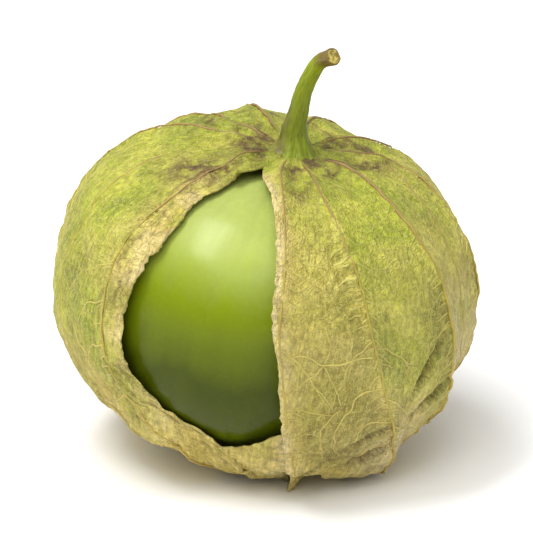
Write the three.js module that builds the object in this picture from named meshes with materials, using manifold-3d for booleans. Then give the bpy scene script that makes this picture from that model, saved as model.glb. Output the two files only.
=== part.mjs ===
// A tomatillo in its papery husk.
//
// The husk is a squat globe with ten ribs, torn open down its front, so that the fruit shows inside
// it. It leans a little, on the small flat that the weight of the fruit presses into its underside,
// and the curved stem stands in the dimple on its top.
//
// Millimetres, +Z up. The split faces -Y. The origin is at the bottom centre of the whole object.

import * as THREE from "three";
import { mergeVertices } from "three/addons/utils/BufferGeometryUtils.js";
import Module from "manifold-3d";

// Husk: a squat globe, drawn upright about its own axis and then leaned over.
const HUSK_RADIUS = 28.5;
const HUSK_HALF_HEIGHT = 22.3;
const HUSK_THICKNESS = 0.6;
const HUSK_SQUARENESS = [2.5, 2.2]; // of the outline above and below the middle: 2 is an ellipse
const RIBS = 10;
const PANEL_FLATNESS = 0.5; // 0 is round between the ribs, and 1 is straight from rib to rib
const DIMPLE_DEPTH = 1.2;
const DIMPLE_RADIUS = 7;
const TOP_OFFSET = 0.85; // how far the stem's foot stands to the right of the middle
const BASE_OFFSET = 2.2; // how far the husk's lower tip lies to the right of the middle

// How the whole tomatillo rests.
const LEAN_RIGHT = THREE.MathUtils.degToRad(9);
const LEAN_FORWARD = THREE.MathUtils.degToRad(2.5);
const FLAT_DEPTH = 1.5; // depth of the underside that is pressed flat

// Fruit: a squat berry that the husk hugs.
const FRUIT_RADIUS = 25.8;
const FRUIT_HALF_HEIGHT = 19.8;
const FRUIT_SQUARENESS = [2.35, 2.15];

// Stem: a bent, tapered stalk. Its radius is given at even steps from its foot to its cut end.
const STEM_RADII = [2.4, 1.9, 1.6, 1.4, 1.28, 1.2, 1.14, 1.08, 1.05, 1.08, 1.2];
const STEM_SIDES = 12;
const STEM_GAP = 0.45; // from the middle of the dimple to the foot, which clears the husk all round
const STEM_ROUTE = [
  [0, 0, 0],
  [-0.3, 0.15, 3.1],
  [-0.15, 0.3, 5.2],
  [0.05, 0.4, 8],
  [0.6, 0.25, 10.4],
  [1.4, -0.4, 12.7],
  [2.9, -2.2, 14.4],
];

// Split: its outline is drawn on a plane that leans back, square to the middle of the opening.
const SPLIT_TILT = THREE.MathUtils.degToRad(20);
const SPLIT_REACH = [8, 50]; // how far from that plane the cut starts and ends
const SPLIT_APEX = [0, 37.8];
const SPLIT_LEFT_EDGE = [
  [-4.1, 36.6],
  [-7.9, 33.9],
  [-12.4, 29.2],
  [-16.3, 23.4],
  [-18.2, 17],
  [-17.2, 10.5],
  [-12, 3.2],
];
const SPLIT_LOW_CORNER = [-3.7, -1.7];
const SPLIT_RIGHT_CORNER = [2.7, 1.2];
const SPLIT_RIGHT_EDGE = [
  [2.1, 9.8],
  [1.2, 16.8],
  [1.8, 24.2],
  [1.6, 30],
  [0.3, 35.4],
];
const SPLIT_EDGE_STEPS = 12;

const wasm = await Module();
wasm.setup();

// A closed geometry as a manifold-3d solid.
function solidOf(geometry) {
  const bare = geometry.clone();
  bare.deleteAttribute("normal");
  bare.deleteAttribute("uv");
  const merged = mergeVertices(bare);
  return new wasm.Manifold(
    new wasm.Mesh({
      numProp: 3,
      vertProperties: new Float32Array(merged.attributes.position.array),
      triVerts: new Uint32Array(merged.index.array),
    }),
  );
}

// A manifold-3d solid as a geometry.
function geometryOf(solid) {
  const { vertProperties, triVerts } = solid.getMesh();
  const geometry = new THREE.BufferGeometry();
  geometry.setAttribute("position", new THREE.BufferAttribute(vertProperties, 3));
  geometry.setIndex(new THREE.BufferAttribute(triVerts, 1));
  geometry.computeVertexNormals();
  return geometry;
}

// A unit sphere with its poles on Z and one vertex at each corner, each moved by move(azimuth, polar).
// Azimuth is 0 at -Y and grows towards +X, and polar is 0 at the top.
function movedSphere(aroundSegments, heightSegments, move) {
  const sphere = new THREE.SphereGeometry(1, aroundSegments, heightSegments).rotateX(Math.PI / 2);
  sphere.deleteAttribute("normal");
  sphere.deleteAttribute("uv");
  const geometry = mergeVertices(sphere);
  const corner = new THREE.Vector3();
  const corners = geometry.attributes.position;
  for (let i = 0; i < corners.count; i++) {
    corner.fromBufferAttribute(corners, i);
    const azimuth = Math.atan2(corner.x, -corner.y);
    const polar = Math.acos(THREE.MathUtils.clamp(corner.z, -1, 1));
    corners.setXYZ(i, ...move(azimuth, polar));
  }
  return geometry;
}

// Distance from the axis and height of a squat outline at a polar angle.
function outline(radius, halfHeight, [squarenessAbove, squarenessBelow], polar) {
  const power = 2 / (Math.cos(polar) > 0 ? squarenessAbove : squarenessBelow);
  const distance = radius * Math.pow(Math.abs(Math.sin(polar)), power);
  const height = halfHeight * Math.sign(Math.cos(polar)) * Math.pow(Math.abs(Math.cos(polar)), power);
  return [distance, height];
}

// 1 on a rib, and less between ribs, where the panel is flatter than the circle through them.
function ribFactor(azimuth) {
  const halfPanel = Math.PI / RIBS;
  const turns = azimuth / (2 * halfPanel);
  const fromPanelMiddle = (turns - Math.floor(turns) - 0.5) * 2 * halfPanel;
  return 1 - PANEL_FLATNESS * (1 - Math.cos(halfPanel) / Math.cos(fromPanelMiddle));
}

// The husk's whole surface, taken in by inset on every side.
function huskGlobe(inset, aroundSegments, heightSegments) {
  const radius = HUSK_RADIUS - inset;
  const halfHeight = HUSK_HALF_HEIGHT - inset;
  return movedSphere(aroundSegments, heightSegments, (azimuth, polar) => {
    const [round, height] = outline(radius, halfHeight, HUSK_SQUARENESS, polar);
    const distance = round * ribFactor(azimuth);
    const dimple = height > 0 ? DIMPLE_DEPTH * Math.exp(-((distance / DIMPLE_RADIUS) ** 2)) : 0;
    const offset = (height > 0 ? TOP_OFFSET : BASE_OFFSET) * (height / halfHeight) ** 2;
    return [distance * Math.sin(azimuth) + offset, -distance * Math.cos(azimuth), height - dimple];
  });
}

const lean = new THREE.Matrix4()
  .makeRotationY(LEAN_RIGHT)
  .multiply(new THREE.Matrix4().makeRotationX(LEAN_FORWARD));

// Leans a geometry that was drawn upright about the husk's middle, and sets it down on the flat.
const leaningHusk = huskGlobe(0, 60, 28).applyMatrix4(lean);
leaningHusk.computeBoundingBox();
const restHeight = -leaningHusk.boundingBox.min.z - FLAT_DEPTH;
function setDown(geometry) {
  return geometry.applyMatrix4(lean).translate(0, 0, restHeight);
}

// A block that takes away everything below a height.
function blockBelow(height) {
  const side = 4 * HUSK_RADIUS;
  return solidOf(new THREE.BoxGeometry(side, side, side).translate(0, 0, height - side / 2));
}

// The prism that tears the husk open.
function splitCutter() {
  const toVector = ([across, up]) => new THREE.Vector2(across, up);
  const left = new THREE.SplineCurve([SPLIT_APEX, ...SPLIT_LEFT_EDGE, SPLIT_LOW_CORNER].map(toVector));
  const right = new THREE.SplineCurve([SPLIT_RIGHT_CORNER, ...SPLIT_RIGHT_EDGE, SPLIT_APEX].map(toVector));
  const corners = [...left.getPoints(2 * SPLIT_EDGE_STEPS), ...right.getPoints(SPLIT_EDGE_STEPS)];
  corners.pop();
  const depth = SPLIT_REACH[1] - SPLIT_REACH[0];
  const shape = new THREE.Shape(corners);
  const prism = new THREE.ExtrudeGeometry(shape, { depth, bevelEnabled: false, steps: 1 });
  prism.translate(0, 0, SPLIT_REACH[0]);
  return solidOf(prism.rotateX(Math.PI / 2 - SPLIT_TILT));
}

function huskGeometry() {
  const outside = solidOf(leaningHusk.clone().translate(0, 0, restHeight)).subtract(blockBelow(0));
  const hollow = solidOf(setDown(huskGlobe(HUSK_THICKNESS, 40, 20))).subtract(blockBelow(HUSK_THICKNESS));
  return geometryOf(outside.subtract(hollow).subtract(splitCutter()));
}

function fruitGeometry() {
  const berry = movedSphere(40, 20, (azimuth, polar) => {
    const [distance, height] = outline(FRUIT_RADIUS, FRUIT_HALF_HEIGHT, FRUIT_SQUARENESS, polar);
    return [distance * Math.sin(azimuth), -distance * Math.cos(azimuth), height];
  });
  return setDown(berry);
}

// A turned stalk whose rings are carried onto the stem's route.
function stemGeometry() {
  const route = new THREE.CatmullRomCurve3(STEM_ROUTE.map((point) => new THREE.Vector3(...point)));
  const rings = STEM_RADII.length - 1;
  const frames = route.computeFrenetFrames(rings, false);
  const profile = STEM_RADII.map((radius, ring) => new THREE.Vector2(radius, ring));
  profile.unshift(new THREE.Vector2(0, 0));
  profile.push(new THREE.Vector2(0, rings));
  const stalk = new THREE.LatheGeometry(profile, STEM_SIDES);
  const corners = stalk.attributes.position;
  const corner = new THREE.Vector3();
  for (let i = 0; i < corners.count; i++) {
    corner.fromBufferAttribute(corners, i);
    const ring = Math.round(corner.y);
    const moved = route
      .getPointAt(ring / rings)
      .addScaledVector(frames.normals[ring], corner.z)
      .addScaledVector(frames.binormals[ring], corner.x);
    corners.setXYZ(i, ...moved);
  }
  const dimpleTop = HUSK_HALF_HEIGHT - DIMPLE_DEPTH;
  return setDown(stalk.translate(TOP_OFFSET, 0, dimpleTop + STEM_GAP));
}

function part(name, geometry, color, roughness) {
  const material = new THREE.MeshStandardMaterial({ color, roughness, metalness: 0 });
  const mesh = new THREE.Mesh(geometry, material);
  mesh.name = name;
  return mesh;
}

const tomatillo = new THREE.Group();
tomatillo.add(part("husk", huskGeometry(), 0xa9b25a, 0.75));
tomatillo.add(part("fruit", fruitGeometry(), 0x8fb52c, 0.28));
tomatillo.add(part("stem", stemGeometry(), 0x86a51f, 0.55));

// Moves the object so that the origin is at the bottom centre of its box.
const box = new THREE.Box3().setFromObject(tomatillo, true);
const middle = box.getCenter(new THREE.Vector3());
tomatillo.position.set(-middle.x, -middle.y, -box.min.z);

export default tomatillo;
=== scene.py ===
"""A tomatillo in its split papery husk, resting on a pale floor in soft studio light.

The sheet, the fruit and the stem stand for the three solids of the frame. Two more pieces belong to the
husk: its raised veins, and the torn flap that lies low in its split.
Shapes are worked out in millimetres in the husk's own upright frame, and then leaned and set down in
metres where the frame has them.  Azimuth is 0 at -Y and grows towards +X, and polar is 0 at the top.
"""

import math
from random import Random

import bpy
import numpy as np
from mathutils import Matrix, Quaternion, Vector, noise


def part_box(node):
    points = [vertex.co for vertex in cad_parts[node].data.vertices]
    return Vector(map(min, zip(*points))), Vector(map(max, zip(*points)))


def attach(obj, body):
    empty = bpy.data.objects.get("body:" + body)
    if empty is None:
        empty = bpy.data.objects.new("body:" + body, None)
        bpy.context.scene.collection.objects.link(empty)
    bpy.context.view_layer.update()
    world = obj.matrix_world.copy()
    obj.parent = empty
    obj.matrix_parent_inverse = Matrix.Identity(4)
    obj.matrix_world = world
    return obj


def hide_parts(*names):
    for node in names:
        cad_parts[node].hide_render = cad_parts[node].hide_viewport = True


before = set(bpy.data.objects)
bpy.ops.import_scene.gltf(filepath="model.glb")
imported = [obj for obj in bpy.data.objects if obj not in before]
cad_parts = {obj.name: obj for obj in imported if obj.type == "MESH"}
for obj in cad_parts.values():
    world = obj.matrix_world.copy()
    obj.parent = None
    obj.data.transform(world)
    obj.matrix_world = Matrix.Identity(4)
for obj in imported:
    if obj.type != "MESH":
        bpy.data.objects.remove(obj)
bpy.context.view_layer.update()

MM = 0.001

# How the tomatillo leans and where its middle is.
LEAN = Matrix.Rotation(math.radians(9), 3, "Y") @ Matrix.Rotation(math.radians(2.5), 3, "X")
FRUIT_LOW, FRUIT_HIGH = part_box("fruit")
MIDDLE = np.array((FRUIT_LOW + FRUIT_HIGH) / 2) / MM

# Husk globe, the same as its solid.
HUSK_RADIUS = 28.5
HUSK_HALF_HEIGHT = 22.3
HUSK_SQUARENESS = (2.5, 2.2)
TOP_OFFSET = 0.85
BASE_OFFSET = 2.2
DIMPLE_DEPTH = 1.2
DIMPLE_RADIUS = 7
MM_PER_DEGREE = math.radians(HUSK_RADIUS)  # round the husk where it is widest
DOWN_SHRINK = 0.85  # a degree of polar is this much shorter, because the husk is squat

# Husk sheet.
SHEET_ROWS = 190
SHEET_COLUMNS = 258
SHEET_THICKNESS = 0.22
PANEL_SAG = 0.5  # how far a panel's middle lies inside the globe
FOLD_HEIGHT = 0.3  # how far the sheet stands up along a rib
FOLD_WIDTH = 1.3
PUCKER_PITCH = 4.4  # degrees of polar between the small puckers beside the ribs
PUCKER_BEND = 0.32  # how fast the puckers bend down as they leave a rib
SHOULDER = (195, 29)  # azimuth and polar of the rise behind the stem
SHOULDER_HEIGHT = 1.0
LOW_CORNER = (45, 134)  # azimuth and polar of the panel corner that stands out low on the right
LOW_CORNER_HEIGHT = 2.1
TUCK_AZIMUTH = 86  # where the lower right side is drawn in
TUCK_DEPTH = 1.1

# Overlapping folds low on the right: azimuth and polar of each end, depth and width in mm.
FOLDS = (
    ((31, 129), (49, 116), 2.2, 3.0),
    ((29, 119), (43, 105), 1.0, 2.4),
    ((50, 108), (65, 93), 2.0, 2.6),
    ((46, 99), (58, 81), 1.5, 2.2),
    ((12, 134), (27, 125), 0.7, 2.2),
    ((84, 128), (104, 112), 1.1, 3.0),
    ((128, 132), (150, 116), 1.2, 3.0),
    ((196, 120), (176, 136), 1.1, 3.0),
    ((236, 134), (262, 122), 1.2, 3.0),
    ((300, 126), (322, 138), 1.0, 3.0),
)

# Ribs: azimuths at these polar angles. The first one runs beside the right edge of the split.
RIB_POLARS = (0, 10, 25, 40, 60, 80, 95, 110, 125, 140, 160, 180)
RIB_AZIMUTHS = (
    (-8, -11, -5, -1, 1.5, 3, 7, 9.8, 13.8, 19, 28, 34),
    (12, 13, 16.5, 20.5, 25, 29.5, 36.5, 43, 50, 57, 68, 74),
    (62, 60, 53, 51.5, 55, 59, 63.5, 68, 74, 80, 86, 88),
    (104, 104, 100, 90, 84, 84, 86, 90, 94, 98, 100, 101),
    (137, 135, 130, 124, 119, 117, 117, 118, 119, 120, 121, 122),
    (172, 170, 166, 160, 155, 153, 152, 150, 148, 146, 144, 143),
    (206, 205, 202, 197, 192, 190, 188, 185, 182, 179, 175, 172),
    (234, 233, 230, 227, 225, 226, 226, 225, 222, 218, 210, 206),
    (262, 259, 252, 248, 250, 255, 259, 262, 264, 262, 256, 250),
    (305, 306, 308, 310, 309, 309, 312, 318, 328, 338, 350, 360),
)

# The split's two edges: polar and azimuth.
SPLIT_APEX_POLAR = 11.4
SPLIT_END_POLAR = 157
RIGHT_EDGE = (
    (11.4, -30), (15, -24), (21.5, -16.5), (28, -10), (38, -5), (55, -1.5), (75, 0.5), (89, 4.5),
    (109, 8.3), (129, 12.5), (143, 18), (157, 22),
)
LEFT_EDGE = (
    (11.4, -30), (17, -35), (27, -39.5), (53, -40), (72, -41.5), (90, -42.5), (104, -38), (115, -28),
    (123, -14), (130, -3), (137, 8), (146, 16), (157, 22),
)
LEFT_EDGE_RISE = ((11.4, 0), (115, 0), (123, 2), (130, 6), (137, 4), (146, -2), (157, 0))
LEFT_RISE_WIDTH = 26  # degrees of azimuth over which rows climb to the left edge
TIP_POLAR = 146  # the right edge ends in a dry point that lies on the floor
TIP_PULL = (-0.3, -2.2, -2.2)


def smooth_step(low, high, value):
    """0 at low and 1 at high, with no corners between. low may be the larger."""
    x = np.clip((value - low) / (high - low), 0, 1)
    return x * x * (3 - 2 * x)


def bump(distance, width):
    """1 at no distance, falling to 0 within a few widths."""
    return np.exp(-((distance / width) ** 2))


def wrapped(angle):
    """The same angle, from -180 to 180 degrees."""
    return (angle + 180) % 360 - 180


def through(points, x):
    """The smooth curve through (x, y) points, at any x: a cubic between each two."""
    knots, values = np.array(points, float).T
    slopes = np.gradient(values, knots)
    x = np.clip(x, knots[0], knots[-1])
    i = np.clip(np.searchsorted(knots, x, side="right") - 1, 0, len(knots) - 2)
    width = knots[i + 1] - knots[i]
    f = (x - knots[i]) / width
    return (
        (1 + 2 * f) * (1 - f) ** 2 * values[i]
        + f * (1 - f) ** 2 * width * slopes[i]
        + f * f * (3 - 2 * f) * values[i + 1]
        + f * f * (f - 1) * width * slopes[i + 1]
    )


def rough(points, scale, octaves=3):
    """Smooth noise from about -1 to 1 at each point, with features about scale mm across."""
    flat = np.asarray(points, float).reshape(-1, 3) / scale
    values = [noise.fractal(Vector(p), 1.0, 2.0, octaves) for p in flat]
    return np.array(values).reshape(np.shape(points)[:-1])


def crease(points, scale):
    """Rounded swellings between sharp valleys, from about -0.5 to 0.5."""
    return np.minimum(2.4 * np.abs(rough(points, scale, 2)), 1) - 0.5


def fold_places(azimuth, polar):
    """For each fold: the distance above its line in mm, how near its middle, its depth and its width."""
    for (first_azimuth, first_polar), (last_azimuth, last_polar), depth, width in FOLDS:
        shrink = math.sin(math.radians((first_polar + last_polar) / 2))
        x = wrapped(azimuth - first_azimuth) * shrink * MM_PER_DEGREE
        y = (first_polar - polar) * MM_PER_DEGREE
        run = np.array(((last_azimuth - first_azimuth) * shrink, first_polar - last_polar)) * MM_PER_DEGREE
        length = np.linalg.norm(run)
        along = (x * run[0] + y * run[1]) / length
        above = (y * run[0] - x * run[1]) / length
        yield above, bump(along - 0.5 * length, 0.4 * length), depth, width


def folds(azimuth, polar):
    """Each fold is a sharp groove along its line, with a swelling that stands out below it."""
    relief = 0
    for above, near, depth, width in fold_places(azimuth, polar):
        swelling = 0.5 * (1 - np.tanh(above / 0.4)) * np.exp(-np.maximum(-above, 0) / width)
        groove = bump(above - 0.25, 0.45)
        relief = relief + depth * near * (0.5 * swelling - 0.5 * groove)
    return relief


def fold_lines(azimuth, polar):
    """1 along the groove of each fold, and 0 away from them."""
    return sum(near * bump(above - 0.2, 0.36) for above, near, _, _ in fold_places(azimuth, polar))


def squat_outline(radius, half_height, squareness, polar):
    """Distance from the axis and height, for polar in radians."""
    power = 2 / np.where(np.cos(polar) > 0, squareness[0], squareness[1])
    distance = radius * np.abs(np.sin(polar)) ** power
    height = half_height * np.sign(np.cos(polar)) * np.abs(np.cos(polar)) ** power
    return distance, height


def globe(azimuth, polar):
    """The husk's plain globe, without its ribs. Angles are in degrees."""
    a = np.radians(azimuth)
    distance, height = squat_outline(HUSK_RADIUS, HUSK_HALF_HEIGHT, HUSK_SQUARENESS, np.radians(polar))
    dimple = np.where(height > 0, DIMPLE_DEPTH * bump(distance, DIMPLE_RADIUS), 0)
    offset = np.where(height > 0, TOP_OFFSET, BASE_OFFSET) * (height / HUSK_HALF_HEIGHT) ** 2
    return np.stack([distance * np.sin(a) + offset, -distance * np.cos(a), height - dimple], -1)


def globe_normal(azimuth, polar):
    """Unit vectors that point straight out of the plain globe."""
    step = 0.5
    polar = np.clip(polar, 2 * step, 180 - 2 * step)
    across = globe(azimuth + step, polar) - globe(azimuth - step, polar)
    down = globe(azimuth, polar + step) - globe(azimuth, polar - step)
    normal = np.cross(down, across)
    return normal / np.linalg.norm(normal, axis=-1, keepdims=True)


def leaned(points):
    """Points drawn upright as places in the frame, both in mm."""
    return points @ np.array(LEAN).T + MIDDLE


def set_down(points):
    """Points drawn upright in mm as places in the frame in metres, none below the floor."""
    placed = leaned(points)
    softness = 0.3
    height = placed[..., 2]
    placed[..., 2] = 0.5 * (height + np.sqrt(height**2 + softness**2))
    return placed * MM


def rib_places(polar):
    """Azimuth of each rib at each polar angle, with the first rib again a full turn on."""
    ribs = [through(tuple(zip(RIB_POLARS, azimuths)), polar) for azimuths in RIB_AZIMUTHS]
    return np.stack(ribs + [ribs[0] + 360], -1)


def panel_place(azimuth, polar):
    """Panel number, place across the panel from 0 to 1, and its width in degrees."""
    ribs = rib_places(polar)
    start = ribs[..., 0]
    turned = start + (azimuth - start) % 360
    number = np.clip((ribs[..., 1:-1] <= turned[..., None]).sum(-1), 0, len(RIB_AZIMUTHS) - 1)
    left = np.take_along_axis(ribs, number[..., None], -1)[..., 0]
    right = np.take_along_axis(ribs, number[..., None] + 1, -1)[..., 0]
    return number, (turned - left) / (right - left), right - left


def axis_distance(polar):
    """How far the plain globe is from its axis at a polar angle."""
    return squat_outline(HUSK_RADIUS, HUSK_HALF_HEIGHT, HUSK_SQUARENESS, np.radians(polar))[0]


def split_edges(polar):
    """Azimuths of the split's right and left edges. They meet above and below the split."""
    right = through(RIGHT_EDGE, polar)
    left = through(LEFT_EDGE, polar)
    return right, left


def split_open(polar):
    """1 along the split, and 0 above and below it."""
    open_here = smooth_step(SPLIT_APEX_POLAR, SPLIT_APEX_POLAR + 8, polar)
    return open_here * (1 - smooth_step(SPLIT_END_POLAR - 12, SPLIT_END_POLAR, polar))


def edge_distances(azimuth, polar):
    """Distances in mm along the row to the split's right and left edges, and how open it is there."""
    right, left = split_edges(polar)
    mm_per_degree = np.radians(axis_distance(polar))
    from_right = (azimuth - right + 20) % 360 - 20
    from_left = (left - azimuth + 20) % 360 - 20
    return from_right * mm_per_degree, from_left * mm_per_degree, split_open(polar)


def husk_relief(azimuth, polar, points):
    """How far the husk stands out from its globe, in mm."""
    number, place, width = panel_place(azimuth, polar)
    mm_wide = np.radians(width) * axis_distance(polar)
    from_rib = np.minimum(place, 1 - place) * mm_wide
    spread = smooth_step(2, 9, axis_distance(polar))
    lower = smooth_step(92, 135, polar)

    relief = -PANEL_SAG * spread * np.sin(np.pi * place) ** 0.8
    relief += FOLD_HEIGHT * spread * bump(from_rib, FOLD_WIDTH)
    relief += 0.35 * spread * rough(points + 31 * number[..., None], 11)

    # Furrows that run down from the stem.
    furrows = np.sin(place * 4 * np.pi + 1.7 * number) * bump(axis_distance(polar) - 7, 6)
    relief += 0.16 * furrows

    # Puckers that leave each rib and bend down the panel, strongest left of the second rib.
    slant = polar - PUCKER_BEND * np.minimum(from_rib, 6) ** 2 + 3 * rough(points + 5, 6, 2)
    puckers = 0.5 - np.abs(np.sin(np.pi * slant / PUCKER_PITCH))
    patchy = np.clip(0.4 + 1.4 * rough(points + 40, 6, 1), 0, 1)
    reach = bump(from_rib - 1.5, 1.6) * bump(polar - 74, 26) * patchy
    gathered = (number == 0) * bump(place - 0.75, 0.3) * bump(polar - 58, 16)
    relief += (0.2 * reach + 0.85 * gathered) * puckers

    # Fine creases everywhere, and crumples low down, where the husk is dry.
    relief += 0.07 * rough(points + 12, 1.6, 2)
    relief += (0.15 + 0.6 * lower) * crease(points, 8) * spread
    relief += (0.14 + 0.1 * lower) * crease(points + 9, 3.2) * spread

    turned = wrapped(azimuth)
    tucked = bump(turned - TUCK_AZIMUTH, 17) * smooth_step(92, 112, polar) * smooth_step(170, 150, polar)
    corner = bump(turned - LOW_CORNER[0], 13) * bump(polar - LOW_CORNER[1], 10)
    shoulder = bump(wrapped(azimuth - SHOULDER[0]), 45) * bump(polar - SHOULDER[1], 16)
    relief += folds(azimuth, polar)
    return relief - TUCK_DEPTH * tucked + LOW_CORNER_HEIGHT * corner + SHOULDER_HEIGHT * shoulder


def edge_relief(azimuth, polar, points):
    """How far the sheet curls out beside the split's edges, in mm."""
    from_right, from_left, open_here = edge_distances(azimuth, polar)
    frill = rough(points + 77, 1.5, 2)
    curl = 0.9 * np.exp(-np.maximum(from_right, 0) / 1.3) * (1 + 0.45 * frill)
    overlap = smooth_step(112, 130, polar)
    curl += 0.8 * overlap * np.exp(-np.maximum(from_right, 0) / 3.5)
    out = (0.1 + 0.6 * rough(points + 50, 4, 2)) * (1 - overlap)
    curl += out * np.exp(-np.maximum(from_left, 0) / 0.8)
    drawn_in = (1.2 + 0.4 * rough(points + 33, 9, 1)) * bump(np.maximum(from_left, 0), 13)
    curl -= drawn_in * (1 - 0.3 * overlap)
    curl -= 0.9 * overlap * np.exp(-np.maximum(from_left, 0) / 4)
    return curl * open_here


def husk_surface(azimuth, polar):
    """Points of the husk's outside in mm, in the upright frame."""
    points = globe(azimuth, polar)
    relief = husk_relief(azimuth, polar, points) + edge_relief(azimuth, polar, points)
    from_right, _, _ = edge_distances(azimuth, polar)
    tip = np.exp(-np.maximum(from_right, 0) / 3.0 - np.abs(polar - TIP_POLAR) / 3.4)
    tip *= smooth_step(-0.32, -0.2, from_right)
    return points + relief[..., None] * globe_normal(azimuth, polar) + tip[..., None] * TIP_PULL


def sheet_grid():
    """Azimuths and polars of the sheet's grid, and which of its rows the split opens.

    Rows go down the husk, and columns go round it, from the split's right edge to its left edge.
    """
    fine = np.radians(np.linspace(0, 180, 721))
    distance, height = squat_outline(HUSK_RADIUS, HUSK_HALF_HEIGHT, HUSK_SQUARENESS, fine)
    length = np.concatenate([[0], np.cumsum(np.hypot(np.diff(distance), np.diff(height)))])
    rows = np.degrees(np.interp(np.linspace(0, length[-1], SHEET_ROWS), length, fine))
    right, left = split_edges(rows)
    down = np.stack([0 * rows, 0 * rows, rows], -1)
    jag = rough(down, 2.2, 3)
    jag_left = rough(down + (9, 0, 0), 7, 5) + 0.5 * rough(down + (4, 0, 0), 1.8, 3)
    open_here = split_open(rows)
    right = right + 0.7 * jag * open_here
    left = left + 1.6 * jag_left * open_here
    across = np.linspace(0, 1, SHEET_COLUMNS)
    azimuth = right[:, None] + across * (left - right + 360)[:, None]
    to_left = (1 - across) * (left - right + 360)[:, None]
    rise = through(LEFT_EDGE_RISE, rows)[:, None] * bump(to_left, LEFT_RISE_WIDTH)
    return azimuth, rows[:, None] + rise, open_here > 0


def grid_normals(points):
    """Unit vectors square to a grid of points."""
    across = np.gradient(points, axis=1)
    down = np.gradient(points, axis=0)
    normal = np.cross(down, across)
    return normal / np.maximum(np.linalg.norm(normal, axis=-1, keepdims=True), 1e-12)


def grid_faces(rows, columns, start, flip):
    """The quads of a grid whose first vertex has the number start."""
    corner = start + np.arange(rows - 1)[:, None] * columns + np.arange(columns - 1)
    quads = np.stack([corner, corner + columns, corner + columns + 1, corner + 1], -1).reshape(-1, 4)
    return quads[:, ::-1] if flip else quads


def mesh_piece(name, vertices, faces, attributes, material, nodes):
    """A smooth-shaded piece that rides on the only body, with one number for each vertex by each name."""
    mesh = bpy.data.meshes.new(name)
    mesh.from_pydata([tuple(v) for v in vertices], [], [tuple(int(i) for i in f) for f in faces])
    for key, values in attributes.items():
        attribute = mesh.attributes.new(key, "FLOAT", "POINT")
        attribute.data.foreach_set("value", np.asarray(values, np.float32).ravel())
    piece = bpy.data.objects.new(name, mesh)
    bpy.context.scene.collection.objects.link(piece)
    weld = piece.modifiers.new("weld", "WELD")
    weld.merge_threshold = 1e-6
    bpy.context.view_layer.update()
    welded = bpy.data.meshes.new_from_object(piece.evaluated_get(bpy.context.evaluated_depsgraph_get()))
    piece.modifiers.remove(weld)
    piece.data = welded
    bpy.data.meshes.remove(mesh)
    welded.name = name
    welded.materials.append(material)
    welded.polygons.foreach_set("use_smooth", [True] * len(welded.polygons))
    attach(piece, "root")
    for node in nodes:
        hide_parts(node)
    return piece


# How dry and how pale each panel is, counted from the split's right edge.
PANEL_DRYNESS = (0.62, 0.1, 0.5, 0.75, 0.3, 0.1, 0.3, 0.15, 0.1, 0.1)
PANEL_PALENESS = (0, 0.1, 0.85, 1.0, 0.35, 0.1, 0.2, 0.1, 0, 0)
PALE_CORNER = (49, 122)  # azimuth and polar of the palest place, between the low folds
STAINS = (  # azimuth, polar, width and height in degrees
    (-62, 27, 14, 9),
    (-52, 20, 12, 6),
    (-100, 9, 30, 5),
    (62, 9, 34, 5),
    (42, 7, 30, 4),
    (95, 17, 26, 5),
    (150, 20, 40, 7),
    (215, 24, 40, 6),
    (4, 19, 9, 8),
)


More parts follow.
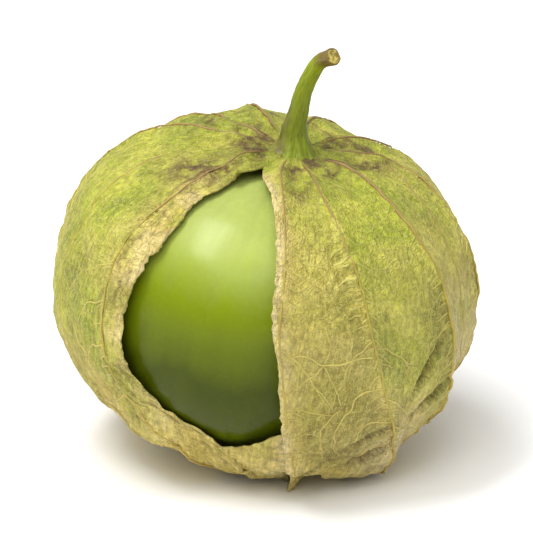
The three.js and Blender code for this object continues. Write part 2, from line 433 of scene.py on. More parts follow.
def husk_masks(azimuth, polar, points):
    """What the husk's colours depend on at each place, such as how dry, pale and stained it is, and where
    shade is painted.
    """
    from_right, from_left, open_here = edge_distances(azimuth, polar)
    number, place, _ = panel_place(azimuth, polar)
    turned = wrapped(azimuth)
    patches = rough(points + 3, 9, 4)
    small = rough(points + 60, 3, 3)
    first_panel = (number == 0) * np.sin(np.pi * np.clip(place, 0, 1)) ** 0.5

    dry = 0.9 * smooth_step(88, 135, polar + 16 * patches)
    dry += np.array(PANEL_DRYNESS)[number] * smooth_step(25, 60, polar)
    band = smooth_step(19, 38, polar) * (0.35 + 0.65 * smooth_step(110, 75, polar))
    dry += band * bump(from_left, 4.2 + 1.5 * patches) * open_here * (0.8 + 0.9 * small)
    dry += 0.8 * bump(from_right, 1.4) * open_here
    dry += 0.35 * patches

    # The random patches are the husk's own olive tone; the darker olive low in the first panel and left of
    # the third rib is painted shade.
    olive_and_painted_shade = 0.9 * first_panel * bump(polar - 106, 28) * (1 + 0.6 * patches)
    olive_and_painted_shade += 0.8 * (number == 1) * bump(place - 0.88, 0.2) * bump(polar - 80, 22)
    olive_and_painted_shade += 0.5 * smooth_step(0, 0.5, rough(points + 90, 7, 3)) * smooth_step(40, 80, polar)

    pale = (0.35 + 0.8 * small) * bump(from_left, 2.6) * band
    pale += bump(from_right, 1.2) * (0.7 + 0.6 * small)
    pale = pale * open_here + np.array(PANEL_PALENESS)[number] * smooth_step(62, 100, polar + 14 * patches)
    pale += 0.9 * bump(turned - PALE_CORNER[0], 13) * bump(polar - PALE_CORNER[1], 15)

    stain = 0.9 * bump(polar - 8, 7) * smooth_step(-0.15, 0.4, rough(points + 20, 3.5, 3))
    for middle_azimuth, middle_polar, wide, tall in STAINS:
        away = np.hypot(wrapped(turned - middle_azimuth) / wide, (polar - middle_polar) / tall)
        stain += bump(away, 1) * smooth_step(-0.3, 0.35, small + 0.4 * patches)

    # The crease mask paints dark brown along the folds' grooves, in the low valleys and in streaks in the
    # torn band: partly the husk's own brown crease lines, partly painted shade.
    torn = np.stack([from_left / 0.9, polar / 14, 0 * polar], -1)
    torn_streaks = smooth_step(0.1, 0.4, rough(torn, 1, 3)) * bump(from_left - 3, 3) * open_here
    valleys = smooth_step(-0.36, -0.5, crease(globe(azimuth, polar), 8)) * smooth_step(85, 125, polar)
    return {
        "crease": np.clip(fold_lines(azimuth, polar) + 0.45 * valleys + 0.65 * torn_streaks, 0, 1),
        "dry": np.clip(dry, 0, 1),
        "olive_and_painted_shade": np.clip(olive_and_painted_shade, 0, 1),
        "stain": np.clip(stain, 0, 1),
        "pale": np.clip(pale, 0, 1),
        "low": smooth_step(60, 150, polar),
        "around": np.radians(azimuth) * HUSK_RADIUS,
        "along": polar * MM_PER_DEGREE * DOWN_SHRINK,
    }


def sheet_piece(name, azimuth, polar, outside, open_rows, ends_open, material):
    """A thin sheet with an outside, an inside, and rims between them at its open rows and ends."""
    placed = set_down(outside)
    inside = placed - grid_normals(placed) * SHEET_THICKNESS * MM
    inside[..., 2] = np.maximum(inside[..., 2], 0.05 * MM)
    rows, columns = azimuth.shape
    count = rows * columns
    faces = [grid_faces(rows, columns, 0, False), grid_faces(rows, columns, count, True)]
    rims = []
    for row in open_rows:
        upper, lower = row * columns, (row + 1) * columns
        rims.append((upper, upper + count, lower + count, lower))
        upper, lower = upper + columns - 1, lower + columns - 1
        rims.append((lower, lower + count, upper + count, upper))
    if ends_open:
        for column in range(columns - 1):
            rims.append((column, column + 1, column + 1 + count, column + count))
            last = count - columns + column
            rims.append((last + 1, last, last + count, last + 1 + count))
    vertices = np.concatenate([placed.reshape(-1, 3), inside.reshape(-1, 3)])
    masks = husk_masks(azimuth, polar, outside)
    attributes = {key: np.concatenate([m.ravel(), m.ravel()]) for key, m in masks.items()}
    attributes["inner"] = np.concatenate([np.zeros(count), np.ones(count)])
    faces = np.concatenate([*faces, rims])
    return mesh_piece(name, vertices, faces, attributes, material, ["husk"])


def build_husk(material):
    azimuth, polar, is_open = sheet_grid()
    outside = husk_surface(azimuth, polar)
    open_rows = np.flatnonzero(is_open[:-1] | is_open[1:])
    return sheet_piece("husk_sheet", azimuth, polar, outside, open_rows, False, material)


# A torn flap that lies against the fruit, low in the split. Its rim is given by azimuth and polar.
FLAP_RIM = ((-30, 132), (-18, 129), (-9, 126.5), (-3, 124.5), (2, 119), (8, 112), (16, 108), (25, 108))
FLAP_END_POLAR = 152
FLAP_RIM_DEPTH = 1.5  # how much further its rim lies inside the husk than its lower end, in mm
FLAP_DEPTHS = (0.6, -0.25)  # of its lower end: under the sheet at both sides, and over it in the middle
FLAP_ROWS = 36
FLAP_COLUMNS = 110


def build_flap(material):
    azimuth = np.linspace(FLAP_RIM[0][0], FLAP_RIM[-1][0], FLAP_COLUMNS)
    rim = through(FLAP_RIM, azimuth)
    rim = rim + 0.9 * rough(np.stack([azimuth, rim, 0 * rim], -1), 3, 4)
    down = np.linspace(0, 1, FLAP_ROWS)[:, None]
    polar = rim + (FLAP_END_POLAR - rim) * down
    azimuth = azimuth + 0 * polar
    points = globe(azimuth, polar)
    over = smooth_step(-24, -10, azimuth) * smooth_step(18, 8, azimuth)
    depth = FLAP_RIM_DEPTH * (1 - down) ** 3 + FLAP_DEPTHS[0] + (FLAP_DEPTHS[1] - FLAP_DEPTHS[0]) * over
    relief = 0.5 * husk_relief(azimuth, polar, points) - depth
    outside = points + relief[..., None] * globe_normal(azimuth, polar)
    return sheet_piece("husk_flap", azimuth, polar, outside, range(FLAP_ROWS - 1), True, material)


# Veins: tubes half sunk in the sheet. Each rib is one, and side veins leave it on both sides.
RIB_RADIUS = ((0, 0.18), (30, 0.16), (90, 0.19), (180, 0.17))
RIB_STRENGTH = (0.7, 0.75, 1.1, 0.8, 0.75, 0.9, 0.9, 0.95, 0.85, 0.55)
MINOR_RIBS = (
    ((20, 96), (35, 77), (56, 70), (77, 71), (100, 78), (122, 86)),
    ((30, 276), (60, 282), (90, 284), (120, 292)),
)
TWIG_RADIUS = 0.1
TWIG_SPACING = 1.5
SIDE_VEIN_RADIUS = 0.14
SIDE_VEIN_SPACING = 5.5
GATHER_RADIUS = 0.17
GATHER_POLARS = (41, 45.5, 49, 51.5, 56, 59, 64, 69)

# Veins in the first panel: radius, and then azimuth and polar at points of each.
FIRST_PANEL_VEINS = (
    (0.14, (29.5, 83), (24, 84.5), (16.5, 86), (11, 83.5), (4, 84)),
    (0.11, (16.5, 86), (13.5, 89.5), (8.5, 91)),
    (0.09, (16.5, 86), (17, 80), (15.5, 74)),
    (0.09, (16.5, 86), (21.5, 92.5), (24, 98.5)),
    (0.12, (35, 91), (28.5, 93), (26, 100), (24, 106), (25, 115.5), (29, 122)),
    (0.12, (41, 104), (34.5, 104.5), (31, 108), (31.5, 115)),
    (0.09, (24, 98.5), (20, 103), (19, 109), (23, 123)),
    (0.08, (10, 110), (14, 108.5), (19, 109)),
    (0.08, (7, 96.5), (15.5, 99.5), (22.5, 100.5)),
    (0.09, (46, 118), (39, 118), (35, 124), (32, 131)),
    (0.08, (22, 86), (23, 78), (20, 71)),
)
VEIN_STEP = 0.33
VEIN_SIDES = 7


def tube(azimuth, polar, radius):
    """A tube along a path on the husk, pointed at both ends: its vertices, ring by ring."""
    middle = husk_surface(azimuth, polar)
    out = globe_normal(azimuth, polar)
    along = np.gradient(middle, axis=0)
    along /= np.linalg.norm(along, axis=1, keepdims=True)
    side = np.cross(out, along)
    turn = np.linspace(0, 2 * np.pi, VEIN_SIDES + 1)[None, :, None]
    radius = np.array(radius)
    radius[[0, -1]] = 0
    across = np.cos(turn) * side[:, None] * 1.15 + np.sin(turn) * out[:, None]
    return middle[:, None] - 0.1 * radius[:, None, None] * out[:, None] + radius[:, None, None] * across


def path_steps(azimuth, polar):
    """The same path, in steps of about VEIN_STEP."""
    places = globe(azimuth, polar)
    length = np.concatenate([[0], np.cumsum(np.linalg.norm(np.diff(places, axis=0), axis=1))])
    even = np.linspace(0, length[-1], max(5, int(length[-1] / VEIN_STEP)))
    return np.interp(even, length, azimuth), np.interp(even, length, polar), even / length[-1]


def rib_paths():
    """The main ribs and the minor ones, thicker and thinner along their way."""
    polar = np.linspace(5, 166, 200)
    ribs = [(rib_places(polar)[:, i], polar, RIB_STRENGTH[i]) for i in range(len(RIB_AZIMUTHS))]
    for points in MINOR_RIBS:
        span = np.linspace(points[0][0], points[-1][0], 120)
        ribs.append((through(points, span), span, 0.6))
    paths = []
    for azimuth, polar, strength in ribs:
        azimuth, polar, share = path_steps(azimuth, polar)
        uneven = 1 + 0.35 * rough(globe(azimuth, polar), 2.5, 3)
        ends = smooth_step(0, 0.04, share) * smooth_step(1, 0.9, share)
        paths.append((azimuth, polar, through(RIB_RADIUS, polar) * strength * uneven * ends, 1.0))
    return paths


def side_vein_paths(random):
    """Side veins that leave each rib on both sides, bend down the panel and fork."""
    paths = []
    mm_down = MM_PER_DEGREE * DOWN_SHRINK
    for panel in range(len(RIB_AZIMUTHS) - 1):
        for from_left in (True, False):
            start = 26 + random.uniform(0, 9)
            while start < (74 if panel == 0 else 148):
                start += SIDE_VEIN_SPACING / mm_down * random.uniform(0.65, 1.35)
                reach = random.uniform(0.28, 0.5)
                slope = random.uniform(7, 18)
                add_side_vein(paths, random, panel, from_left, (0, start), reach, slope, SIDE_VEIN_RADIUS)
    return paths


def drawn_paths():
    """The first panel's own veins, and the arcs that gather it against the second rib."""
    paths = []
    for radius, *points in FIRST_PANEL_VEINS:
        share = np.linspace(0, len(points) - 1, 60)
        azimuth = through(tuple((i, point[0]) for i, point in enumerate(points)), share)
        polar = through(tuple((i, point[1]) for i, point in enumerate(points)), share)
        azimuth, polar, share = path_steps(azimuth, polar)
        wander = rough(globe(azimuth, polar) + 7, 2.2, 2)
        paths.append((azimuth + 0.9 * wander, polar + 0.5 * wander, radius * (1 - 0.4 * share), 0.0))
    for number, start in enumerate(GATHER_POLARS):
        from_rib = np.linspace(0.5 * (number % 2), 2.4 + 1.1 * (number % 3), 24)
        polar = start + PUCKER_BEND * from_rib**2
        azimuth = rib_places(polar)[:, 1] - from_rib / MM_PER_DEGREE
        azimuth, polar, share = path_steps(azimuth, polar)
        wander = rough(globe(azimuth, polar) + 3, 1.6, 2)
        widths = GATHER_RADIUS * (1 - 0.6 * share) * (1 + 0.6 * wander)
        paths.append((azimuth, polar + 1.4 * wander, widths, 0.0))
    return paths


def twig_paths(random):
    """Short twigs close to the ribs, where the sheet is gathered."""
    paths = []
    for panel in range(len(RIB_AZIMUTHS) - 1):
        for from_left in (True, False):
            polar = 46.0
            while polar < 118:
                polar += TWIG_SPACING / MM_PER_DEGREE * random.uniform(0.6, 1.9)
                length = random.uniform(1.0, 3.0)
                share = np.linspace(0, 1, 12)
                bend = random.uniform(1.5, 4.5)
                ribs = rib_places(polar + bend * share**1.5)
                away = length * share / (MM_PER_DEGREE * axis_distance(polar) / HUSK_RADIUS)
                azimuth = ribs[:, panel] + away if from_left else ribs[:, panel + 1] - away
                azimuth, polars, share = path_steps(azimuth, polar + bend * share**1.5)
                paths.append((azimuth, polars, TWIG_RADIUS * (1 - 0.5 * share), 0.0))
    return paths


def add_side_vein(paths, random, panel, from_left, origin, reach, slope, radius):
    """One side vein from (place across the panel, polar), and the two twigs at its end."""
    share = np.linspace(0, 1, 40)
    wander = rough(np.stack([share * 3, 0 * share + origin[1], 0 * share + panel], -1), 1.0, 2)
    place = origin[0] + reach * share
    polar = origin[1] + slope * share**1.3 + 3.4 * wander * share
    ribs = rib_places(polar)
    place_from_left = place if from_left else 1 - place
    azimuth = ribs[:, panel] + place_from_left * (ribs[:, panel + 1] - ribs[:, panel])
    azimuth, polar, share = path_steps(azimuth, polar)
    strength = 0.35 + 0.65 * smooth_step(55, 105, polar)
    widths = radius * (1 - 0.6 * share) * strength
    paths.append((azimuth, polar, widths, 0.0))
    if radius == SIDE_VEIN_RADIUS:
        for turn in (-1, 1):
            fork = random.uniform(0.45, 0.9)
            begin = (origin[0] + reach * fork, origin[1] + slope * fork**1.3)
            twig_slope = slope * 0.2 + turn * 7
            add_side_vein(paths, random, panel, from_left, begin, reach * 0.35, twig_slope, radius * 0.6)


def all_vein_paths():
    """Azimuths, polars and radii of every vein, and 1 for a rib or 0 for a smaller vein."""
    random = Random(4)
    return rib_paths() + drawn_paths() + side_vein_paths(random) + twig_paths(random)


def build_veins(material):
    vertices, faces, polars, mains = [], [], [], []
    start = 0
    for azimuth, polar, radius, main in all_vein_paths():
        rings = tube(azimuth, polar, radius)
        vertices.append(set_down(rings).reshape(-1, 3))
        faces.append(grid_faces(len(rings), VEIN_SIDES + 1, start, False))
        count = rings.shape[0] * rings.shape[1]
        polars.append(np.repeat(polar, VEIN_SIDES + 1))
        mains.append(np.full(count, main))
        start += count
    attributes = {"polar": np.concatenate(polars), "main": np.concatenate(mains)}
    vertices, faces = np.concatenate(vertices), np.concatenate(faces)
    return mesh_piece("husk_veins", vertices, faces, attributes, material, ["husk"])


# Fruit.
FRUIT_RADIUS = 25.8
FRUIT_HALF_HEIGHT = 19.8
FRUIT_SQUARENESS = (2.5, 2.15)
FRUIT_AROUND = 200
FRUIT_ROWS = 130
FRUIT_LOBES = 5
FRUIT_LOBE_DEPTH = 0.008  # as a share of the radius


def build_fruit(material):
    polar = np.radians(np.linspace(0, 180, FRUIT_ROWS))[:, None]
    azimuth = np.radians(np.linspace(0, 360, FRUIT_AROUND + 1))[None, :]
    distance, height = squat_outline(FRUIT_RADIUS, FRUIT_HALF_HEIGHT, FRUIT_SQUARENESS, polar)
    lobes = 1 + FRUIT_LOBE_DEPTH * np.cos(FRUIT_LOBES * azimuth + 0.6) * np.sin(polar) ** 2
    dimple = np.where(height > 0, 1.2 * bump(distance, 5), 0.7 * -bump(distance, 4))
    across = distance * lobes * np.sin(azimuth)
    forward = -distance * lobes * np.cos(azimuth)
    points = np.stack([across, forward, (height - dimple) + 0 * azimuth], -1)
    placed = leaned(points) * MM
    attributes = {
        "polar": np.degrees(polar) + 0 * azimuth,
        "turn_x": np.sin(azimuth) + 0 * polar,
        "turn_y": np.cos(azimuth) + 0 * polar,
    }
    faces = grid_faces(FRUIT_ROWS, FRUIT_AROUND + 1, 0, False)
    vertices = placed.reshape(-1, 3)
    return mesh_piece("fruit_berry", vertices, faces, attributes, material, ["fruit"])


# Stem.
STEM_ROUTE = (
    (0, 0, -1.0),
    (0, 0, 0),
    (-0.3, 0.15, 3.1),
    (-0.15, 0.3, 5.2),
    (0.05, 0.4, 8),
    (0.6, 0.25, 10.4),
    (1.4, -0.4, 12.7),
    (2.9, -2.2, 14.4),
)
STEM_RADIUS = (
    (0, 3.6), (0.05, 2.75), (0.12, 2.1), (0.25, 1.6), (0.5, 1.22), (0.8, 1.06), (0.93, 1.06), (1, 1.2),
)
STEM_GAP = 0.45  # from the middle of the husk's dimple to the stem's foot, the same as in its solid
STEM_CUT = ((0.93, 0.12), (0.8, 0.1), (0.68, -0.1), (0.4, -0.02), (0.15, -0.08), (0, -0.08))
STEM_ROWS = 150
STEM_SIDES = 72
STEM_GROOVES = 5


def along_route(route, count):
    """Evenly spaced points of a smooth curve through a route, and the curve's directions."""
    points = np.array(route, float)
    steps = np.concatenate([[0], np.cumsum(np.linalg.norm(np.diff(points, axis=0), axis=1))])
    fine = np.linspace(0, steps[-1], 40 * len(points))
    dense = np.stack([through(tuple(zip(steps, points[:, i])), fine) for i in range(3)], -1)
    length = np.concatenate([[0], np.cumsum(np.linalg.norm(np.diff(dense, axis=0), axis=1))])
    even = np.linspace(0, length[-1], count)
    placed = np.stack([np.interp(even, length, dense[:, i]) for i in range(3)], -1)
    direction = np.gradient(placed, axis=0)
    return placed, direction / np.linalg.norm(direction, axis=1, keepdims=True)


def build_stem(material):
    middle, direction = along_route(STEM_ROUTE, STEM_ROWS)
    side = np.cross(direction, (0, 1, 0))
    side /= np.linalg.norm(side, axis=1, keepdims=True)
    front = np.cross(side, direction)
    turn = np.linspace(0, 2 * np.pi, STEM_SIDES + 1)
    up = np.linspace(0, 1, STEM_ROWS)[:, None]
    radius = through(STEM_RADIUS, up) + 0 * turn
    flute = smooth_step(0.45, 0, up)
    grooves = 0.06 * flute * np.cos(STEM_GROOVES * 2 * turn) + 0.035 * np.cos(STEM_GROOVES * turn)
    radius = radius * (1 + grooves)
    across, forward = np.cos(turn)[None, :, None], np.sin(turn)[None, :, None]
    points = middle[:, None] + radius[..., None] * (across * side[:, None] + forward * front[:, None])
    points += 0.05 * rough(points, 1.2, 2)[..., None] * (points - middle[:, None])
    # The cut end is a thin rim round a sunken pith: rings by share of the radius and by height.
    rings = [points]
    heights = [up + 0 * turn]
    end, ahead = middle[-1], direction[-1]
    for share, lift in STEM_CUT:
        ring = end + (points[-1] - end) * share + ahead * lift
        ring = ring + 0.05 * rough(ring, 0.5, 2)[..., None] * ahead * (share > 0)
        rings.append(ring[None])
        heights.append(np.full((1, STEM_SIDES + 1), 1 + 0.5 * (1 - share)))
    # The foot is a flat disc.
    rings.insert(0, middle[0] + 0 * points[:1])
    heights.insert(0, 0 * heights[1][:1])
    grid = np.concatenate(rings)
    height = np.concatenate(heights)
    foot = np.array((TOP_OFFSET, 0, HUSK_HALF_HEIGHT - DIMPLE_DEPTH + STEM_GAP))
    vertices = (leaned(grid + foot) * MM).reshape(-1, 3)
    faces = grid_faces(len(grid), STEM_SIDES + 1, 0, True)
    attributes = {"up": height, "right_side": np.cos(turn)[None, :] + 0 * height}
    return mesh_piece("stem_stalk", vertices, faces, attributes, material, ["stem"])


class Nodes:
    """Short calls for making a material's nodes."""

    def __init__(self, name):
        self.material = bpy.data.materials.new(name)
        self.material.use_nodes = True
        self.tree = self.material.node_tree
        self.shader = self.tree.nodes["Principled BSDF"]

    def link(self, value, socket):
        if isinstance(value, bpy.types.NodeSocket):
            self.tree.links.new(value, socket)
        elif socket.type == "RGBA" and len(value) == 3:
            socket.default_value = (*value, 1)
        else:
            socket.default_value = value

    def attribute(self, name):
        node = self.tree.nodes.new("ShaderNodeAttribute")
        node.attribute_name = name
        return node.outputs["Fac"]

    def position(self):
        node = self.tree.nodes.new("ShaderNodeTexCoord")
        return node.outputs["Object"]

    def math(self, operation, *values):
        node = self.tree.nodes.new("ShaderNodeMath")
        node.operation = operation
        for value, socket in zip(values, node.inputs):
            self.link(value, socket)
        return node.outputs[0]

    def vector(self, *values):
        node = self.tree.nodes.new("ShaderNodeCombineXYZ")
        for value, socket in zip(values, node.inputs):
            self.link(value, socket)
        return node.outputs[0]

    def noise(self, vector, scale, detail=4.0, roughness=0.55):
        node = self.tree.nodes.new("ShaderNodeTexNoise")
        self.link(vector, node.inputs["Vector"])
        node.inputs["Scale"].default_value = scale
        node.inputs["Detail"].default_value = detail
        node.inputs["Roughness"].default_value = roughness
        return node.outputs["Fac"]

    def cell_edges(self, vector, scale):
        node = self.tree.nodes.new("ShaderNodeTexVoronoi")
        node.feature = "DISTANCE_TO_EDGE"
        self.link(vector, node.inputs["Vector"])
        node.inputs["Scale"].default_value = scale
        return node.outputs["Distance"]

    def ramp(self, value, *stops):
        """Colours, or shades of grey, at places from 0 to 1."""
        node = self.tree.nodes.new("ShaderNodeValToRGB")
        self.link(value, node.inputs["Fac"])
        elements = node.color_ramp.elements
        while len(elements) < len(stops):
            elements.new(0.5)
        for element, (place, color) in zip(elements, stops):
            element.position = place
            element.color = (color, color, color, 1) if isinstance(color, (int, float)) else (*color, 1)
        return node.outputs["Color"]

    def mix(self, share, first, second, blend="MIX"):
        node = self.tree.nodes.new("ShaderNodeMix")
        node.data_type = "RGBA"
        node.blend_type = blend
        self.link(share, node.inputs["Factor"])
        self.link(first, node.inputs["A"])
        self.link(second, node.inputs["B"])
        return node.outputs["Result"]

    def bump(self, height, distance, strength):
        node = self.tree.nodes.new("ShaderNodeBump")
        self.link(height, node.inputs["Height"])
        node.inputs["Distance"].default_value = distance
        node.inputs["Strength"].default_value = strength
        return node.outputs["Normal"]

    def finish(self, color, roughness, normal=None):
        """Sends the three things that vary over a surface to the shader."""
        self.link(color, self.shader.inputs["Base Color"])
        self.link(roughness, self.shader.inputs["Roughness"])
        if normal is not None:
            self.link(normal, self.shader.inputs["Normal"])


def srgb(code):
    """A colour such as "a9b25a" as linear numbers."""
    parts = [int(code[i : i + 2], 16) / 255 for i in (0, 2, 4)]
    return tuple(c / 12.92 if c <= 0.04045 else ((c + 0.055) / 1.055) ** 2.4 for c in parts)


def husk_material():
    m = Nodes("husk")
    place = m.position()
    dry, stain, low = m.attribute("dry"), m.attribute("stain"), m.attribute("low")
    around, along = m.attribute("around"), m.attribute("along")
    fibres = m.noise(m.vector(around, m.math("MULTIPLY", along, 0.16), 0.0), 2.0, 5, 0.65)
    hairs = m.noise(m.vector(around, m.math("MULTIPLY", along, 0.3), 3.0), 5.5, 3, 0.6)
    blotch = m.noise(place, 170, 5, 0.62)
    speckle = m.noise(place, 1300, 3, 0.6)

    green = m.ramp(blotch, (0.3, srgb("74851a")), (0.5, srgb("9ba429")), (0.7, srgb("c2bf46")))
    low_green = m.ramp(blotch, (0.3, srgb("928a36")), (0.7, srgb("c2b65a")))
    green = m.mix(m.math("MULTIPLY", low, 0.6), green, low_green)
    tan = m.ramp(blotch, (0.28, srgb("ad9544")), (0.5, srgb("cfb762")), (0.75, srgb("e2ce8a")))
    colour = m.mix(dry, green, tan)
    # Olive tone, with painted shade low in the first panel and beside the third rib.
    colour = m.mix(m.math("MULTIPLY", m.attribute("olive_and_painted_shade"), 0.75), colour, srgb("7c7430"))
    colour = m.mix(m.math("MULTIPLY", m.attribute("pale"), 0.75), colour, srgb("e4cfa4"))
    colour = m.mix(0.9, colour, m.ramp(fibres, (0.34, 0.64), (0.5, 1.0), (0.68, 1.28)), "MULTIPLY")
    strokes = m.ramp(hairs, (0.54, 0.0), (0.63, 1.0))
    colour = m.mix(m.math("MULTIPLY", strokes, 0.42), colour, srgb("dfd782"))

    warp = m.noise(place, 500, 2)
    warped = m.mix(0.0015, place, warp, "ADD")
    vein = m.ramp(m.cell_edges(warped, 800), (0.0, 1.0), (0.09, 0.0))
    fine_vein = m.ramp(m.cell_edges(warped, 1900), (0.0, 1.0), (0.16, 0.0))
    colour = m.mix(m.math("MULTIPLY", vein, 0.3), colour, srgb("cfc36c"))
    colour = m.mix(m.math("MULTIPLY", fine_vein, 0.25), colour, srgb("d6cb78"))
    colour = m.mix(0.9, colour, m.ramp(speckle, (0.35, 0.8), (0.5, 1.03), (0.65, 1.2)), "MULTIPLY")
    # Dark brown in the creases: partly the husk's own colour, partly painted shade.
    colour = m.mix(m.math("MULTIPLY", m.attribute("crease"), 0.85), colour, srgb("4f3f1c"))
    mottle = m.ramp(m.noise(place, 800, 4, 0.7), (0.36, 0.25), (0.56, 1.0))
    colour = m.mix(m.math("MULTIPLY", m.math("MULTIPLY", stain, mottle), 0.9), colour, srgb("5f4234"))
    colour = m.mix(m.math("MULTIPLY", m.attribute("inner"), 0.5), colour, srgb("cfc080"))

    height = m.math("ADD", m.math("MULTIPLY", fine_vein, 0.5), m.math("MULTIPLY", vein, 0.8))
    height = m.math("ADD", height, m.math("MULTIPLY", m.math("ADD", fibres, hairs), 0.8))
    height = m.math("ADD", height, m.math("MULTIPLY", speckle, 0.7))
    height = m.math("ADD", height, m.math("MULTIPLY", m.noise(place, 430, 3, 0.6), 3.2))
    m.finish(colour, m.ramp(blotch, (0.3, 0.55), (0.7, 0.72)), m.bump(height, 0.0002, 0.9))
    m.shader.inputs["Subsurface Weight"].default_value = 0.15
    m.shader.inputs["Subsurface Radius"].default_value = (1.0, 0.8, 0.2)
    m.shader.inputs["Subsurface Scale"].default_value = 0.001
    m.shader.inputs["Specular IOR Level"].default_value = 0.25
    return m.material


def vein_material():
    m = Nodes("vein")
    polar = m.math("DIVIDE", m.attribute("polar"), 180.0)
    rib = m.ramp(
        polar,
        (0.04, srgb("8c6e42")), (0.2, srgb("a08246")), (0.36, srgb("a89a3a")), (0.8, srgb("bba04a")),
    )
    side = m.ramp(polar, (0.2, srgb("bab45c")), (0.5, srgb("c4b45c")), (0.8, srgb("c2aa60")))
    colour = m.mix(m.attribute("main"), side, rib)
    patches = m.noise(m.position(), 400, 3)
    colour = m.mix(0.7, colour, m.ramp(patches, (0.35, 0.8), (0.65, 1.15)), "MULTIPLY")
    m.finish(colour, 0.5, m.bump(m.noise(m.position(), 1500, 2), 0.00005, 0.5))
    m.shader.inputs["Subsurface Weight"].default_value = 0.1
    m.shader.inputs["Subsurface Scale"].default_value = 0.0008
    return m.material


def fruit_material():
    m = Nodes("fruit")
    place = m.position()
    cloud = m.noise(place, 60, 3)
    specks = m.noise(place, 1500, 2)
    polar = m.math("DIVIDE", m.attribute("polar"), 180.0)
    turn_x, turn_y = m.attribute("turn_x"), m.attribute("turn_y")
    streaks = m.noise(m.vector(turn_x, turn_y, m.math("MULTIPLY", polar, 0.35)), 7.0, 3)
    skin = m.ramp(cloud, (0.3, srgb("80930c")), (0.55, srgb("8a9c12")), (0.75, srgb("96a824")))
    down = m.math("ADD", polar, m.math("MULTIPLY", cloud, 0.12))
    down = m.math("ADD", down, m.math("MULTIPLY", streaks, 0.1))
    # Painted highlight: a pale band over the fruit's upper part that fades out above its middle.
    pale = m.ramp(down, (0.3, 0.32), (0.4, 0.28), (0.53, 0.0))
    colour = m.mix(pale, skin, srgb("cdd296"))
    # Painted shade: the skin is made much darker from its middle down, and a little less dark at the very
    # bottom.
    painted_shade_below = m.ramp(down, (0.42, 1.0), (0.54, 0.7), (0.65, 0.22), (0.78, 0.22), (0.95, 0.8))
    colour = m.mix(1.0, colour, painted_shade_below, "MULTIPLY")
    colour = m.mix(0.6, colour, m.ramp(streaks, (0.35, 0.86), (0.65, 1.12)), "MULTIPLY")
    colour = m.mix(0.25, colour, m.ramp(specks, (0.45, 0.92), (0.65, 1.1)), "MULTIPLY")
    m.finish(colour, m.ramp(m.noise(place, 200, 3), (0.3, 0.24), (0.7, 0.32)), m.bump(cloud, 0.0003, 0.3))
    m.shader.inputs["Specular IOR Level"].default_value = 0.1
    m.shader.inputs["Subsurface Weight"].default_value = 0.25
    m.shader.inputs["Subsurface Radius"].default_value = (1.0, 1.1, 0.15)
    m.shader.inputs["Subsurface Scale"].default_value = 0.002
    m.shader.inputs["Coat Weight"].default_value = 0.12
    m.shader.inputs["Coat Roughness"].default_value = 0.16
    return m.material


def stem_material():
    m = Nodes("stem")
    place = m.position()
    up, right = m.attribute("up"), m.attribute("right_side")
    blotch = m.noise(place, 350, 4, 0.6)
    colour = m.ramp(
        up,
        (0.0, srgb("8d9a2c")), (0.25, srgb("6f7a06")), (0.8, srgb("88930f")), (0.93, srgb("74602c")),
    )
    cut = m.ramp(m.noise(place, 1800, 3), (0.4, srgb("8a7434")), (0.6, srgb("d6c46a")))
    pith = m.ramp(m.math("SUBTRACT", up, 1.0), (0.0, 0.0), (0.06, 0.0), (0.12, 1.0))
    colour = m.mix(pith, colour, cut)
    lengthwise = m.vector(m.math("MULTIPLY", right, 3.0), m.math("MULTIPLY", up, 3.0), 0.0)
    streaks = m.ramp(m.noise(lengthwise, 3.0, 4), (0.48, 0.0), (0.66, 1.0))
    colour = m.mix(m.math("MULTIPLY", streaks, 0.6), colour, srgb("434d10"))
    bruise = m.math("MULTIPLY", m.ramp(right, (0.2, 0.0), (0.9, 1.0)), m.ramp(up, (0.05, 1.0), (0.5, 0.0)))
    bruise = m.math("MULTIPLY", bruise, m.ramp(blotch, (0.4, 0.1), (0.6, 0.8)))
    colour = m.mix(bruise, colour, srgb("6a5044"))
    m.finish(colour, m.ramp(blotch, (0.3, 0.38), (0.7, 0.55)), m.bump(blotch, 0.0002, 0.6))
    m.shader.inputs["Specular IOR Level"].default_value = 0.3
    m.shader.inputs["Subsurface Weight"].default_value = 0.1
    m.shader.inputs["Subsurface Scale"].default_value = 0.0008
    return m.material


# Camera, floor and lights.
VIEW_ELEVATION = math.radians(20)
VIEW_DISTANCE = 0.6
VIEW_WIDTH = 0.0716
VIEW_TARGET = Vector((0.0005, 0, 0.0257))
SENSOR_WIDTH = 36
FLOOR_HALF_SIDE = 6
FLOOR_WHITENESS = 0.95
WORLD_STRENGTH = 0.52
SUN_STRENGTH = 1.2
SUN_ANGLE = math.radians(50)
SUN_TURN = (math.radians(22), math.radians(-9), 0)
LIGHT_TARGET = Vector((0, 0, 0.025))
AREA_LIGHTS = (  # name, place, size in metres, power in watts and roll
    ("key", (-0.1, -0.42, 0.4), (0.3, 0.3), 0.55, 0.0),
    ("top", (-0.17, -0.06, 0.5), (0.11, 0.34), 1.8, math.radians(38)),
)


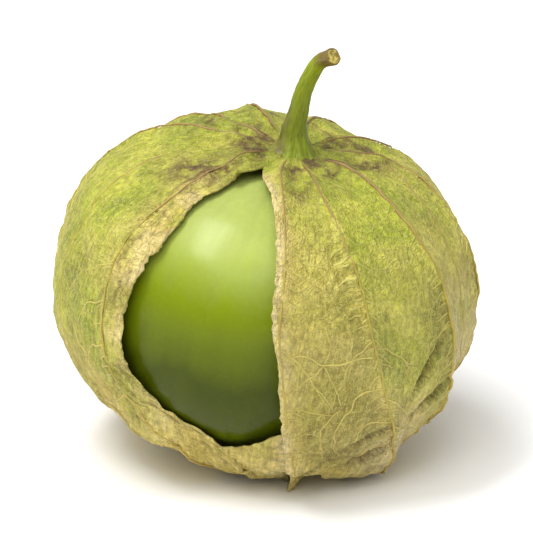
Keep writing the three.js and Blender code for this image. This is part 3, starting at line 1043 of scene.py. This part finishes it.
def add_camera():
    data = bpy.data.cameras.new("camera")
    data.sensor_width = SENSOR_WIDTH
    data.lens = SENSOR_WIDTH * VIEW_DISTANCE / VIEW_WIDTH
    camera = bpy.data.objects.new("camera", data)
    bpy.context.scene.collection.objects.link(camera)
    back = Vector((0, -math.cos(VIEW_ELEVATION), math.sin(VIEW_ELEVATION)))
    camera.location = VIEW_TARGET + back * VIEW_DISTANCE
    camera.rotation_mode = "QUATERNION"
    camera.rotation_quaternion = (-back).to_track_quat("-Z", "Y")
    bpy.context.scene.camera = camera


def add_floor():
    side = FLOOR_HALF_SIDE
    mesh = bpy.data.meshes.new("floor")
    corners = [(-side, -side, 0), (side, -side, 0), (side, side, 0), (-side, side, 0)]
    mesh.from_pydata(corners, [], [(0, 1, 2, 3)])
    floor = bpy.data.objects.new("floor", mesh)
    bpy.context.scene.collection.objects.link(floor)
    m = Nodes("floor")
    m.finish((FLOOR_WHITENESS, FLOOR_WHITENESS, FLOOR_WHITENESS), 0.7)
    m.shader.inputs["Specular IOR Level"].default_value = 0.1
    mesh.materials.append(m.material)


def add_area_light(name, place, size, power, roll):
    data = bpy.data.lights.new(name, "AREA")
    data.shape = "RECTANGLE"
    data.size, data.size_y = size
    data.energy = power
    light = bpy.data.objects.new(name, data)
    bpy.context.scene.collection.objects.link(light)
    light.location = place
    light.rotation_mode = "QUATERNION"
    facing = (LIGHT_TARGET - Vector(place)).to_track_quat("-Z", "Y")
    light.rotation_quaternion = facing @ Quaternion((0, 0, 1), roll)


def add_lights():
    world = bpy.data.worlds.new("studio")
    world.use_nodes = True
    background = world.node_tree.nodes["Background"]
    background.inputs["Color"].default_value = (1, 1, 1, 1)
    background.inputs["Strength"].default_value = WORLD_STRENGTH
    bpy.context.scene.world = world
    sun = bpy.data.lights.new("overhead", "SUN")
    sun.energy = SUN_STRENGTH
    sun.angle = SUN_ANGLE
    overhead = bpy.data.objects.new("overhead", sun)
    bpy.context.scene.collection.objects.link(overhead)
    overhead.rotation_euler = SUN_TURN
    for name, place, size, power, roll in AREA_LIGHTS:
        add_area_light(name, place, size, power, roll)


add_camera()
paper = husk_material()
build_husk(paper)
build_flap(paper)
build_veins(vein_material())
build_fruit(fruit_material())
build_stem(stem_material())
add_floor()
add_lights()
bpy.context.scene.view_settings.view_transform = "Standard"
